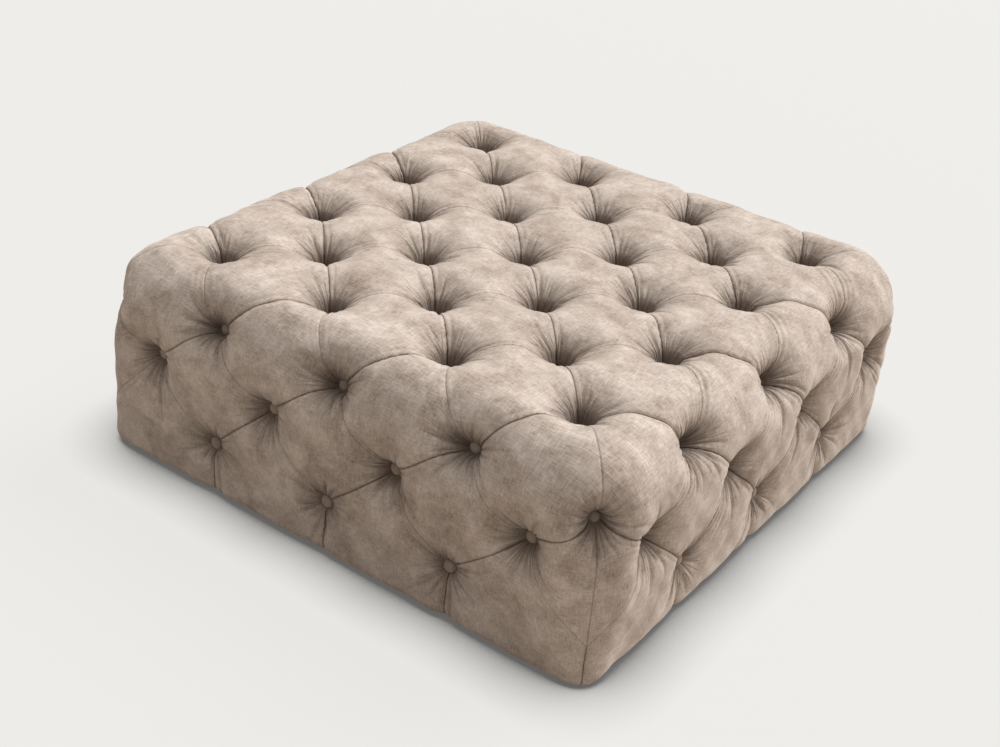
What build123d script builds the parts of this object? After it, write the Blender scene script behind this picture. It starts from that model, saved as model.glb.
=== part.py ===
from build123d import *
import os
from collections import namedtuple
from math import atan2, cos, degrees, radians, sin, sqrt

os.makedirs("parts", exist_ok=True)

# A square, deep-buttoned ottoman used as a coffee table. Millimetres, +Z up, origin on the floor
# under the middle. +X is the right side, -Y is the front.

# Smooth outside of the upholstery, before the buttons draw it in
half_width = 500.0
crown_height = 360.0
underside_height = 10.0
widest_height = 200.0
shoulder_radius = 110.0
foot_corner_radius = 45.0
foot_draw_in = 16.0
hem_radius = 10.0

# Buttons of the top: two square nets, one in the middle of the other
top_pitch = 230.0
top_tuft_depth = 55.0

# Rows of buttons down each side, from the shoulder to the hem
row_1_pitch = 240.0
row_1_height = 283.0
row_1_seat_in = 62.0
row_1_tilt = 25.0
row_2_pitch = 239.0
row_2_height = 201.0
row_2_seat_in = 42.0
row_3_pitch = 234.0
row_3_height = 93.0
row_3_seat_in = 30.0
corner_height = 256.0
corner_seat_in = 68.0
corner_tilt = 15.0

# Mouth radius of each kind of tuft, and the flat that the button sits on
top_mouth = 80.0
row_2_mouth = 72.0
row_3_mouth = 60.0
corner_mouth = 70.0
seat_radius = 12.0

# Half width and depth of the folds between the buttons
top_fold_half = 75.0
top_fold_depth = 22.0
shoulder_fold_half = 54.0
shoulder_fold_depth = 16.0
side_fold_half = 48.0
side_fold_depth = 13.0
corner_fold_half = 30.0
corner_fold_depth = 7.0
hem_fold_half = 34.0
hem_fold_depth = 7.0
seam_half = 12.0
seam_depth = 3.5
# A tuft's and a fold's round walls start this far above the skin, so they cut it at an angle
wall_lift = 2.0
# Below this bow a fold runs straight
straight_bow = 1.0
crown_round_slack = 1.0

# Soft layers. The cover is cloth with the fibre fill of its pillows, so it is thick under a pillow
# and as thin as the cloth under a button. Batting wraps the foam inside it.
cloth = 2.0
fill_inset = 24.5
batting_thickness = 6.0
bore_play = 6.0
bore_spread = 18.0
hem_turn_in = 112.0

# Buttons, twines and toggles
button_radius = 11.0
button_rim = 2.5
button_height = 7.0
back_radius = 8.0
back_thickness = 2.0
twine_radius = 1.5
twine_play = 0.15
board_bore_radius = 4.0
toggle_radius = 7.0
toggle_thickness = 3.0
knot_radius = 4.0

# Timber frame
board_half = 425.0
side_board_thickness = 9.0
deck_thickness = 16.0
deck_top = 266.0
post_width = 40.0
rail_thickness = 30.0
base_rail_height = 48.0
top_rail_height = 38.0
cross_rail_offset = 172.5
corner_block_leg = 70.0
corner_block_height = 48.0

# Screws: frame, deck, side boards and feet
frame_screw_length = 80.0
frame_screw_radius = 2.5
frame_screw_head = 5.0
frame_screw_stagger = 8.0
deck_screw_length = 40.0
deck_screw_radius = 2.0
deck_screw_head = 4.0
deck_screw_places = (57.5, 287.5)
board_screw_length = 25.0
board_screw_radius = 1.75
board_screw_head = 3.5
board_screw_places = (60.0, 280.0, 396.0)
screw_play = 0.1
back_play = 0.1

# Feet, dust cover and staples
foot_radius = 22.0
foot_round = 2.0
foot_screw_length = 30.0
foot_screw_radius = 2.25
foot_screw_head = 4.5
foot_screw_recess = 2.25
dust_cover_half = 421.0
dust_cover_thickness = 1.5
staple_places = (50.0, 150.0, 250.0, 330.0)
staple_crown = 12.0
staple_wire = 1.2
staple_crown_height = 0.6
staple_leg = 11.0
staple_line = 404.0

# How far a cutting tool runs past what it cuts, and how near its line a sector takes a button in
overrun = 40.0
sector_slack = 2.0

hem_top = underside_height + cloth
board_inside = board_half - side_board_thickness
post_inside = board_inside - post_width
rail_inside = board_inside - rail_thickness
deck_underside = deck_top - deck_thickness
foot_height = underside_height - dust_cover_thickness
diagonal = Plane(origin=(0, 0, 0), z_dir=(1, -1, 0))

# One button's place: the seat on the cloth, the outward axis, the depth under the smooth skin, the
# mouth of its tuft, and the face inside the frame where its twine comes out
Spot = namedtuple("Spot", "group seat axis depth mouth exit_point exit_normal")


def skin_size(height):
    """Half width and corner radius of the smooth skin at a height."""
    low_share = (widest_height - height) / (widest_height - underside_height)
    low_share = min(max(low_share, 0), 1)
    half = half_width - foot_draw_in * low_share
    radius = shoulder_radius + (foot_corner_radius - shoulder_radius) * low_share
    return half, radius


def skin_gap(point):
    """Distance from a point to the smooth skin, negative inside, and the way out."""
    half, radius = skin_size(point.Z)
    over = [
        abs(point.X) - (half - radius),
        abs(point.Y) - (half - radius),
        point.Z - (crown_height - shoulder_radius),
    ]
    outside = Vector(*[max(value, 0) for value in over])
    if outside.length > 0:
        way_out = outside.normalized()
        gap = outside.length - radius
    else:
        way_out = Vector(*[1 if value == max(over) else 0 for value in over])
        gap = max(over) - radius
    signs = [1 if point.X >= 0 else -1, 1 if point.Y >= 0 else -1, 1]
    return gap, Vector(*[value * sign for value, sign in zip(way_out, signs)])


def on_skin(point):
    """The nearest point of the smooth skin."""
    gap, way_out = skin_gap(point)
    return point - way_out * gap


def depth_along(seat, axis):
    """How far the skin lies above a seat, measured along the button's axis."""
    depth = 0.0
    for step in range(60):
        depth -= skin_gap(seat + axis * depth)[0]
    return depth


def tilted(direction, tilt):
    """A level direction raised by a tilt in degrees."""
    return direction.normalized() * cos(radians(tilt)) + Vector(0, 0, 1) * sin(radians(tilt))


def side_spot(group, row, along):
    """A button of the right-hand side, at a distance along it."""
    inward, height, tilt, mouth = row
    seat = Vector(half_width - inward, along, height)
    axis = tilted(Vector(1, 0, 0), tilt)
    if tilt > 0:
        exit_point = Vector(0, 0, deck_underside)
        exit_normal = Vector(0, 0, -1)
    else:
        exit_point = Vector(board_inside, 0, 0)
        exit_normal = Vector(-1, 0, 0)
    return Spot(group, seat, axis, depth_along(seat, axis), mouth, exit_point, exit_normal)


row_1 = (row_1_seat_in, row_1_height, row_1_tilt, top_mouth)
row_2 = (row_2_seat_in, row_2_height, 0, row_2_mouth)
row_3 = (row_3_seat_in, row_3_height, 0, row_3_mouth)


def top_spots():
    """The 4 by 4 net and the 3 by 3 net between it."""
    spots = []
    for count in (4, 3):
        for column in range(count):
            for line in range(count):
                x = (column - (count - 1) / 2) * top_pitch
                y = (line - (count - 1) / 2) * top_pitch
                seat = Vector(x, y, crown_height - top_tuft_depth)
                exit_point = Vector(0, 0, deck_underside)
                up, down = Vector(0, 0, 1), Vector(0, 0, -1)
                spots.append(Spot("top", seat, up, top_tuft_depth, top_mouth, exit_point, down))
    return spots


def right_spots(group):
    """The ten buttons of the right-hand side: 3, 4 and 3."""
    spots = [side_spot(group, row_1, step * row_1_pitch) for step in (-1, 0, 1)]
    spots += [side_spot(group, row_2, step * row_2_pitch / 2) for step in (-3, -1, 1, 3)]
    spots += [side_spot(group, row_3, step * row_3_pitch) for step in (-1, 0, 1)]
    return spots


def corner_spot():
    """The button on the back right corner edge."""
    reach = half_width - corner_seat_in
    seat = Vector(reach, reach, corner_height)
    axis = tilted(Vector(1, 1, 0), corner_tilt)
    block_face = rail_inside - corner_block_leg / 2
    exit_point = Vector(block_face, block_face, 0)
    exit_normal = Vector(-1, -1, 0).normalized()
    return Spot("corner", seat, axis, depth_along(seat, axis), corner_mouth, exit_point, exit_normal)


def turned(spot, group, angle):
    """A spot turned about the ottoman's upright axis."""
    vectors = [v.rotate(Axis.Z, angle) for v in (spot.seat, spot.axis, spot.exit_point, spot.exit_normal)]
    return Spot(group, vectors[0], vectors[1], spot.depth, spot.mouth, vectors[2], vectors[3])


quarter_turns = {"right": 0, "back": 90, "left": 180, "front": 270}
all_spots = top_spots()
for side, angle in quarter_turns.items():
    all_spots += [turned(spot, side, angle) for spot in right_spots(side)]
    all_spots.append(turned(corner_spot(), "corner", angle))


def spots_of(*groups):
    return [spot for spot in all_spots if spot.group in groups]


def in_sector(point):
    """True in the eighth between the middle of the right side and the back right corner."""
    return -sector_slack <= point.Y <= point.X + sector_slack


sector_spots = [spot for spot in spots_of("top", "right", "corner") if in_sector(spot.seat)]


def twine_run(spot):
    """Length of twine from the cloth to the face where it comes out, and the slant there."""
    slant = -spot.axis.dot(spot.exit_normal)
    run = (spot.exit_point - spot.seat).dot(spot.exit_normal) / slant
    return run, slant


def twine_plane(spot):
    """A plane on the seat that looks down the twine."""
    return Plane(origin=spot.seat, z_dir=-spot.axis)


def smooth_body(inset, bottom, hem_round):
    """The smooth outside moved inwards, standing on a level bottom."""
    foot_half, foot_corner = skin_size(bottom)
    corner = shoulder_radius - inset
    wide = 2 * (half_width - inset)
    with BuildPart() as body:
        with BuildSketch(Plane.XY.offset(bottom)):
            RectangleRounded(2 * (foot_half - inset), 2 * (foot_half - inset), foot_corner - inset)
        with BuildSketch(Plane.XY.offset(widest_height)):
            RectangleRounded(wide, wide, corner)
        loft(ruled=True)
        with BuildSketch(Plane.XY.offset(widest_height)):
            RectangleRounded(wide, wide, corner)
        extrude(amount=crown_height - inset - widest_height)
        fillet(body.faces().sort_by(Axis.Z)[-1].edges(), corner - crown_round_slack)
        if hem_round > 0:
            fillet(body.faces().sort_by(Axis.Z)[0].edges(), hem_round)
    return body.part


def tuft(spot):
    """What one button takes out: a funnel whose wall is one round arc down to a flat seat."""
    depth = spot.depth + wall_lift
    wall = ((spot.mouth - seat_radius) ** 2 + depth**2) / (2 * depth)
    seat_angle = atan2(wall - depth, seat_radius - spot.mouth) % radians(360)
    middle_angle = (seat_angle + radians(90)) / 2
    middle = (spot.mouth + wall * cos(middle_angle), wall * sin(middle_angle) - wall)
    square = Plane(origin=spot.seat + spot.axis * depth, z_dir=spot.axis)
    upright = Plane(origin=square.origin, x_dir=square.x_dir, z_dir=square.x_dir.cross(spot.axis))
    with BuildPart() as tool:
        with BuildSketch(upright):
            with BuildLine():
                Polyline((0, -depth), (0, overrun), (spot.mouth, overrun), (spot.mouth, 0))
                ThreePointArc((spot.mouth, 0), middle, (seat_radius, -depth))
                Line((seat_radius, -depth), (0, -depth))
            make_face()
        revolve(axis=Axis(square.origin, spot.axis))
    return tool.part


def fold_section(plane, half, floor):
    """The fold's section: two round walls that meet in a crease at the bottom."""
    lip = floor + wall_lift
    wall = (half**2 + lip**2) / (2 * lip)
    middle_angle = (atan2(wall - lip, -half) + radians(90)) / 2
    middle_x = half + wall * cos(middle_angle)
    middle_y = lip - wall + wall * sin(middle_angle)
    with BuildSketch(plane) as section:
        with BuildLine():
            Polyline((-half, lip), (-half, overrun), (half, overrun), (half, lip))
            ThreePointArc((half, lip), (middle_x, middle_y), (0, 0))
            ThreePointArc((0, 0), (-middle_x, middle_y), (-half, lip))
        make_face()
    return section.sketch


def fold(start, finish, half, floor):
    """The fold between two places on the skin, at a steady depth under it."""
    halfway = (start + finish) * 0.5
    gap, way_out = skin_gap(halfway)
    run = finish - start
    if abs(gap) < straight_bow:
        along = run.normalized()
        plane = Plane(origin=start - way_out * floor, x_dir=way_out.cross(along), z_dir=along)
        with BuildPart() as tool:
            extrude(fold_section(plane, half, floor), amount=run.length)
        return tool.part
    # Over a round shoulder or corner the fold is part of a ring through both ends and the skin between
    first = on_skin(halfway) - start
    normal = first.cross(run)
    to_centre = (normal.cross(first) * run.dot(run) + run.cross(normal) * first.dot(first)) * (
        0.5 / normal.dot(normal)
    )
    centre = start + to_centre
    axis = normal.normalized()
    out = -to_centre.normalized()
    first_arm, last_arm = start - centre, finish - centre
    sweep_angle = degrees(atan2(first_arm.cross(last_arm).dot(axis), first_arm.dot(last_arm)))
    plane = Plane(origin=centre + out * (to_centre.length - floor), x_dir=axis, z_dir=axis.cross(out))
    with BuildPart() as tool:
        revolve(fold_section(plane, half, floor), axis=Axis(centre, axis), revolution_arc=sweep_angle)
    return tool.part


def sector_folds():
    """Every fold that crosses the sector."""
    folds = []

    def skin_over(spot):
        return spot.seat + spot.axis * spot.depth

    def top_place(x_step, y_step):
        return Vector(x_step * top_pitch / 2, y_step * top_pitch / 2, crown_height)

    straight_lines = [((-1, -1), (3, 3)), ((1, -1), (3, 1)), ((-1, 1), (1, -1)), ((0, 2), (3, -1))]
    straight_lines.append(((1, 3), (3, 1)))
    for start, finish in straight_lines:
        folds.append(fold(top_place(*start), top_place(*finish), top_fold_half, top_fold_depth))

    row_1_mid, row_1_end = [skin_over(side_spot("right", row_1, step * row_1_pitch)) for step in (0, 1)]
    row_2_mid, row_2_end = [skin_over(side_spot("right", row_2, step * row_2_pitch / 2)) for step in (1, 3)]
    row_3_mid, row_3_end = [skin_over(side_spot("right", row_3, step * row_3_pitch)) for step in (0, 1)]
    edge, corner_top = top_place(3, 1), top_place(3, 3)
    corner = skin_over(corner_spot())

    for start, finish in ((edge, row_1_mid), (edge, row_1_end), (corner_top, row_1_end), (corner_top, corner)):
        folds.append(fold(start, finish, shoulder_fold_half, shoulder_fold_depth))
    side_pairs = [
        (row_1_mid, row_2_mid),
        (row_1_end, row_2_mid),
        (row_1_end, row_2_end),
        (corner, row_2_end),
        (row_2_mid, row_3_mid),
        (row_2_mid, row_3_end),
        (row_2_end, row_3_end),
    ]
    for start, finish in side_pairs:
        folds.append(fold(start, finish, side_fold_half, side_fold_depth))

    # Upright folds from row 3 to the hem, the faint one to the corner, and the sewn corner seam
    for start in (row_3_mid, row_3_end):
        foot = Vector(skin_size(underside_height)[0], start.Y, underside_height)
        folds.append(fold(start, foot, hem_fold_half, hem_fold_depth))
    seam_place = on_skin(Vector(half_width, half_width, row_3_height))
    folds.append(fold(row_2_end, seam_place, corner_fold_half, corner_fold_depth))
    seam_foot = on_skin(Vector(half_width, half_width, underside_height))
    folds.append(fold(corner, seam_foot, seam_half, seam_depth))
    return folds


def sector_block(low, high):
    """The eighth of the plan between two heights."""
    reach = half_width + overrun
    with BuildPart() as block:
        with BuildSketch(Plane.XY.offset(low)):
            with BuildLine():
                Polyline((0, 0), (reach, 0), (reach, reach), close=True)
            make_face()
        extrude(amount=high - low)
    return block.part


def tufted_sector():
    """One eighth of the tufted body."""
    with BuildPart() as sector:
        add(smooth_body(0, underside_height, hem_radius))
        add(sector_block(0, crown_height + overrun), mode=Mode.INTERSECT)
        for spot in sector_spots:
            add(tuft(spot), mode=Mode.SUBTRACT)
        for tool in sector_folds():
            add(tool, mode=Mode.SUBTRACT)
    return sector.part


def padding_sector(inset, press):
    """One eighth of a smooth padding layer's outside, with a tapered bore under each button."""
    bore_floor = seat_radius + bore_play
    with BuildPart() as sector:
        add(smooth_body(inset, hem_top, 0))
        add(sector_block(0, crown_height + overrun), mode=Mode.INTERSECT)
        for spot in sector_spots:
            with Locations(Plane(origin=spot.seat - spot.axis * press, z_dir=spot.axis)):
                Cone(
                    bore_floor,
                    bore_floor + bore_spread,
                    spot.depth + press,
                    align=(Align.CENTER, Align.CENTER, Align.MIN),
                    mode=Mode.SUBTRACT,
                )
    return sector.part


def twine_holes(spots, radius):
    """Round holes along the twines."""
    with BuildPart() as holes:
        for spot in spots:
            run, slant = twine_run(spot)
            with Locations(twine_plane(spot).offset(-cloth)):
                Cylinder(radius, run + overrun, align=(Align.CENTER, Align.CENTER, Align.MIN))
    return holes.part


def all_round(sector_part):
    """Mirrors one eighth into the whole."""
    with BuildPart() as whole:
        add(sector_part)
        mirror(about=diagonal)
        mirror(about=Plane.XZ)
        mirror(about=Plane.YZ)
    return whole.part


def staple(along):
    """One staple of the right side's hem: a crown under the dust cover and two legs up into the rail."""
    crown_top = foot_height
    with BuildPart() as wire:
        with Locations((staple_line, along, crown_top)):
            Box(staple_wire, staple_crown, staple_crown_height, align=(Align.CENTER, Align.CENTER, Align.MAX))
        for end in (-1, 1):
            leg_place = along + end * (staple_crown - staple_wire) / 2
            with Locations((staple_line, leg_place, crown_top)):
                Box(staple_wire, staple_wire, staple_leg, align=(Align.CENTER, Align.CENTER, Align.MIN))
    return wire.part


def keep(piece, name):
    """Labels a finished piece and writes it."""
    piece.part.label = name
    export_step(piece.part, f"parts/{name}.step", write_pcurves=False)
    print(f"{name}: {len(piece.part.solids())} solids, {piece.part.volume / 1000:.1f} cm3")


# Staples, used again to pierce what they hold
with BuildPart() as underside_staples:
    for angle in quarter_turns.values():
        with Locations(Rotation(0, 0, angle)):
            for place in staple_places:
                add(staple(place))
                add(staple(-place))
keep(underside_staples, "underside_staples")


def screw(length, radius, head_radius, play=0.0):
    """A countersunk screw, pointing up, its head's flat face at the origin."""
    with BuildPart() as body:
        with BuildSketch(Plane.XZ):
            with BuildLine():
                Polyline(
                    (0, -play),
                    (head_radius + play, -play),
                    (radius + play, head_radius - radius),
                    (radius + play, length - radius),
                    (0, length + play),
                    close=True,
                )
            make_face()
        revolve(axis=Axis.Z)
    return body.part


def screws(places, length, radius, head_radius, play=0.0):
    """Copies of one screw. A place is the head's centre and the way in."""
    with BuildPart() as group:
        for head, way_in in places:
            with Locations(Plane(origin=head, z_dir=way_in)):
                add(screw(length, radius, head_radius, play))
    return group.part


def around(places):
    """Places of the right side, turned to all four sides."""
    result = []
    for angle in quarter_turns.values():
        for head, way_in in places:
            result.append((Vector(*head).rotate(Axis.Z, angle), Vector(*way_in).rotate(Axis.Z, angle)))
    return result


rail_middle = board_inside - rail_thickness / 2
base_rail_middle = hem_top + base_rail_height / 2
top_rail_middle = deck_underside - top_rail_height / 2
post_middle = board_inside - post_width / 2

# Rail ends: each screw passes a post and bites the end of a rail. The screws of the two rails that
# meet in a post are set at different heights.
frame_screw_places = []
for height in (base_rail_middle, top_rail_middle):
    for end in (-1, 1):
        for across in (-1, 1):
            lower = height - frame_screw_stagger
            upper = height + frame_screw_stagger
            frame_screw_places.append(((end * board_inside, across * rail_middle, lower), (-end, 0, 0)))
            frame_screw_places.append(((across * rail_middle, end * board_inside, upper), (0, -end, 0)))
frame_screw_places = [(Vector(*head), Vector(*way_in)) for head, way_in in frame_screw_places]
frame_screw_size = (frame_screw_length, frame_screw_radius, frame_screw_head)

# Deck screws go down into the top rails and the cross rails
deck_screw_heads = [(rail_middle, place * sign, deck_top) for place in deck_screw_places for sign in (-1, 1)]
deck_places = around([(head, (0, 0, -1)) for head in deck_screw_heads])
for side_sign in (-1, 1):
    for sign in (-1, 1):
        head = Vector(side_sign * cross_rail_offset, sign * deck_screw_places[0], deck_top)
        deck_places.append((head, Vector(0, 0, -1)))
deck_screw_size = (deck_screw_length, deck_screw_radius, deck_screw_head)

# Side board screws go in level, along the base rail and the top rail
board_places = []
for place in board_screw_places:
    for sign in (-1, 1):
        for height in (base_rail_middle, top_rail_middle):
            board_places.append(((board_half, place * sign, height), (-1, 0, 0)))
board_places = around(board_places)
board_screw_size = (board_screw_length, board_screw_radius, board_screw_head)

# Feet stand under the posts
foot_corners = {
    "front_left": (-post_middle, -post_middle),
    "front_right": (post_middle, -post_middle),
    "back_left": (-post_middle, post_middle),
    "back_right": (post_middle, post_middle),
}
foot_screw_places = [(Vector(x, y, foot_screw_recess), Vector(0, 0, 1)) for x, y in foot_corners.values()]
foot_screw_size = (foot_screw_length, foot_screw_radius, foot_screw_head)

with BuildPart() as frame_screws:
    add(screws(frame_screw_places, *frame_screw_size))
keep(frame_screws, "frame_screws")

with BuildPart() as deck_screws:
    add(screws(deck_places, *deck_screw_size))
keep(deck_screws, "deck_screws")

with BuildPart() as side_board_screws:
    add(screws(board_places, *board_screw_size))
keep(side_board_screws, "side_board_screws")

with BuildPart() as foot_screws:
    add(screws(foot_screw_places, *foot_screw_size))
keep(foot_screws, "foot_screws")

frame_screw_bores = screws(frame_screw_places, *frame_screw_size, play=screw_play)
deck_screw_bores = screws(deck_places, *deck_screw_size, play=screw_play)
board_screw_bores = screws(board_places, *board_screw_size, play=screw_play)
foot_screw_bores = screws(foot_screw_places, *foot_screw_size, play=screw_play)
deck_bores = twine_holes(spots_of("top", "right", "back", "left", "front"), board_bore_radius)
corner_bores = twine_holes(spots_of("corner"), board_bore_radius)


def bored(block, cutters):
    """A timber with its bores cut out."""
    with BuildPart() as timber:
        add(block)
        for cutter in cutters:
            add(cutter, mode=Mode.SUBTRACT)
    return timber


# Rails, one for each side, at the base and under the deck
rail_levels = (("base", hem_top, base_rail_height), ("top", deck_underside, -top_rail_height))
for side, angle in quarter_turns.items():
    for level, bottom, height in rail_levels:
        with BuildPart() as blank:
            with BuildSketch(Plane.XY.offset(bottom)):
                with Locations(Rotation(0, 0, angle)):
                    with Locations((rail_middle, 0)):
                        Rectangle(rail_thickness, 2 * post_inside)
            extrude(amount=height)
        cutters = [frame_screw_bores, board_screw_bores]
        cutters.append(underside_staples.part if level == "base" else deck_screw_bores)
        keep(bored(blank.part, cutters), f"{level}_rail_{side}")

# Corner posts and the blocks that brace the deck's corners
for name, (x, y) in foot_corners.items():
    x_sign, y_sign = (1 if x > 0 else -1), (1 if y > 0 else -1)
    with BuildPart() as blank:
        with BuildSketch(Plane.XY.offset(hem_top)):
            with Locations((x, y)):
                Rectangle(post_width, post_width)
        extrude(amount=deck_underside - hem_top)
    cutters = [frame_screw_bores, board_screw_bores, foot_screw_bores, corner_bores, deck_bores]
    keep(bored(blank.part, cutters), f"corner_post_{name}")

    leg_end = rail_inside - corner_block_leg
    outline = [
        (leg_end, rail_inside),
        (post_inside, rail_inside),
        (post_inside, post_inside),
        (rail_inside, post_inside),
        (rail_inside, leg_end),
    ]
    with BuildPart() as blank:
        with BuildSketch(Plane.XY.offset(deck_underside)):
            with BuildLine():
                Polyline(*[(px * x_sign, py * y_sign) for px, py in outline], close=True)
            make_face()
        extrude(amount=-corner_block_height)
    keep(bored(blank.part, [corner_bores]), f"corner_block_{name}")

# Cross rails: two under the deck, clear of the twines, and one between the base rails
for name, sign in (("left", -1), ("right", 1)):
    with BuildPart() as blank:
        with BuildSketch(Plane.XY.offset(deck_underside)):
            with Locations((sign * cross_rail_offset, 0)):
                Rectangle(rail_thickness, 2 * rail_inside)
        extrude(amount=-top_rail_height)
    keep(bored(blank.part, [deck_screw_bores]), f"deck_cross_rail_{name}")

with BuildPart() as base_cross_rail:
    with BuildSketch(Plane.XY.offset(hem_top)):
        Rectangle(2 * rail_inside, rail_thickness)
    extrude(amount=base_rail_height)
keep(base_cross_rail, "base_cross_rail")

# Side boards: the front and back ones run the full width, the other two fit between them
for side, angle in quarter_turns.items():
    full = side in ("front", "back")
    with BuildPart() as blank:
        with BuildSketch(Plane.XY.offset(hem_top)):
            with Locations(Rotation(0, 0, angle)):
                with Locations((board_half - side_board_thickness / 2, 0)):
                    Rectangle(side_board_thickness, 2 * (board_half if full else board_inside))
        extrude(amount=deck_underside - hem_top)
    side_bores = twine_holes(spots_of(side), board_bore_radius)
    keep(bored(blank.part, [side_bores, corner_bores, board_screw_bores]), f"side_board_{side}")

with BuildPart() as deck_board:
    with BuildSketch(Plane.XY.offset(deck_underside)):
        Rectangle(2 * board_half, 2 * board_half)
    extrude(amount=deck_thickness)
    add(deck_bores, mode=Mode.SUBTRACT)
    add(corner_bores, mode=Mode.SUBTRACT)
    add(deck_screw_bores, mode=Mode.SUBTRACT)
keep(deck_board, "deck_board")

# Soft layers, made as one eighth and mirrored
skin_sector = tufted_sector()
lining_sector = padding_sector(fill_inset, cloth)
core_sector = padding_sector(fill_inset + batting_thickness, cloth + batting_thickness)
sector_twine_holes = twine_holes(sector_spots, twine_radius + twine_play)

hem_inside = skin_size(underside_height)[0] - hem_turn_in
with BuildPart() as cover_sector:
    add(skin_sector)
    add(lining_sector, mode=Mode.SUBTRACT)
    Box(
        2 * hem_inside,
        2 * hem_inside,
        hem_top + overrun,
        align=(Align.CENTER, Align.CENTER, Align.MIN),
        mode=Mode.SUBTRACT,
    )
    add(sector_twine_holes, mode=Mode.SUBTRACT)
    for place in staple_places:
        add(staple(place), mode=Mode.SUBTRACT)
with BuildPart() as tufted_cover:
    add(all_round(cover_sector.part))
    add(foot_screw_bores, mode=Mode.SUBTRACT)
keep(tufted_cover, "tufted_cover")

with BuildPart() as batting_sector:
    add(lining_sector)
    add(core_sector, mode=Mode.SUBTRACT)
    add(sector_twine_holes, mode=Mode.SUBTRACT)
with BuildPart() as batting:
    add(all_round(batting_sector.part))
keep(batting, "batting")

with BuildPart() as top_foam_sector:
    add(core_sector)
    add(sector_block(deck_top, crown_height + overrun), mode=Mode.INTERSECT)
    add(sector_twine_holes, mode=Mode.SUBTRACT)
with BuildPart() as top_foam:
    add(all_round(top_foam_sector.part))
keep(top_foam, "top_foam")

# The side slabs are cut square at the boards and mitred at the corners
with BuildPart() as right_slab:
    add(core_sector)
    add(sector_block(0, deck_top), mode=Mode.INTERSECT)
    Box(
        2 * board_half,
        2 * board_half,
        2 * deck_top,
        mode=Mode.SUBTRACT,
    )
    add(sector_twine_holes, mode=Mode.SUBTRACT)
    mirror(about=Plane.XZ)
for side, angle in quarter_turns.items():
    with BuildPart() as side_foam:
        add(right_slab.part, rotation=(0, 0, angle))
    keep(side_foam, f"side_foam_{side}")


def at_seat(spot):
    """A plane on the seat that looks out along the button."""
    return Plane(origin=spot.seat, z_dir=spot.axis)


# Button caps: a flat rim, a round dome and a recess for the back plate
with BuildPart() as cap:
    with BuildSketch(Plane.XZ):
        with BuildLine():
            Polyline(
                (0, button_height),
                (0, back_thickness),
                (back_radius, back_thickness),
                (back_radius, 0),
                (button_radius, 0),
                (button_radius, button_rim),
            )
            RadiusArc(
                (button_radius, button_rim),
                (0, button_height),
                -(button_radius**2 + (button_height - button_rim) ** 2) / (2 * (button_height - button_rim)),
            )
        make_face()
    revolve(axis=Axis.Z)

for group in ("top", "right", "back", "left", "front", "corner"):
    with BuildPart() as caps:
        with Locations(*[at_seat(spot) for spot in spots_of(group)]):
            add(cap.part)
    keep(caps, f"{group}_buttons")

with BuildPart() as button_backs:
    with Locations(*[at_seat(spot) for spot in all_spots]):
        Cylinder(back_radius - back_play, back_thickness, align=(Align.CENTER, Align.CENTER, Align.MIN))
keep(button_backs, "button_backs")

def knotted_twine(length):
    """A length of twine along +Z with a round knot centred on its far end."""
    neck = length - sqrt(knot_radius**2 - twine_radius**2)
    with BuildPart() as twine:
        with BuildSketch(Plane.XZ):
            with BuildLine():
                Polyline((0, length + knot_radius), (0, 0), (twine_radius, 0), (twine_radius, neck))
                ThreePointArc((twine_radius, neck), (knot_radius, length), (0, length + knot_radius))
            make_face()
        revolve(axis=Axis.Z)
    return twine.part


# Each twine runs from its button's back to a knot behind its toggle
with BuildPart() as tufting_twines:
    for spot in all_spots:
        run, slant = twine_run(spot)
        length = run + (toggle_thickness + knot_radius) / slant
        with Locations(twine_plane(spot)):
            add(knotted_twine(length))
keep(tufting_twines, "tufting_twines")

toggle_bores = twine_holes(all_spots, twine_radius + twine_play)
with BuildPart() as twine_toggles:
    for spot in all_spots:
        run, slant = twine_run(spot)
        with Locations(Plane(origin=spot.seat - spot.axis * run, z_dir=spot.exit_normal)):
            Cylinder(toggle_radius, toggle_thickness, align=(Align.CENTER, Align.CENTER, Align.MIN))
    add(toggle_bores, mode=Mode.SUBTRACT)
keep(twine_toggles, "twine_toggles")

# Underside: the dust cover, and a low foot under each post
with BuildPart() as dust_cover:
    with BuildSketch(Plane.XY.offset(foot_height)):
        Rectangle(2 * dust_cover_half, 2 * dust_cover_half)
    extrude(amount=dust_cover_thickness)
    add(underside_staples.part, mode=Mode.SUBTRACT)
    add(foot_screw_bores, mode=Mode.SUBTRACT)
keep(dust_cover, "dust_cover")

for name, (x, y) in foot_corners.items():
    with BuildPart() as foot:
        with BuildSketch(Plane.XY):
            with Locations((x, y)):
                Circle(foot_radius)
        extrude(amount=foot_height)
        fillet(foot.edges().sort_by(Axis.Z)[0], foot_round)
        add(foot_screw_bores, mode=Mode.SUBTRACT)
        with Locations((x, y, 0)):
            Cylinder(
                foot_screw_head + screw_play,
                foot_screw_recess,
                align=(Align.CENTER, Align.CENTER, Align.MIN),
                mode=Mode.SUBTRACT,
            )
    keep(foot, f"foot_{name}")
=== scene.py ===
# %% [markdown]
# # A deep-buttoned ottoman, dressed in Blender
# The model that comes from CAD is exact but plain: a timber box, foam, batting, and one closed
# solid for the tufted cover. This lesson puts the cloth, the buttons and the finishes on it.
# Everything is in metres, in the same frame as the CAD. The measures of the upholstery are in
# millimetres, as an upholsterer would note them, and are scaled when a mesh gets its points.

# %% Load the frame
import math

import bmesh
import bpy
import numpy as np
from mathutils import Matrix, Vector
from mathutils.bvhtree import BVHTree


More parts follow.
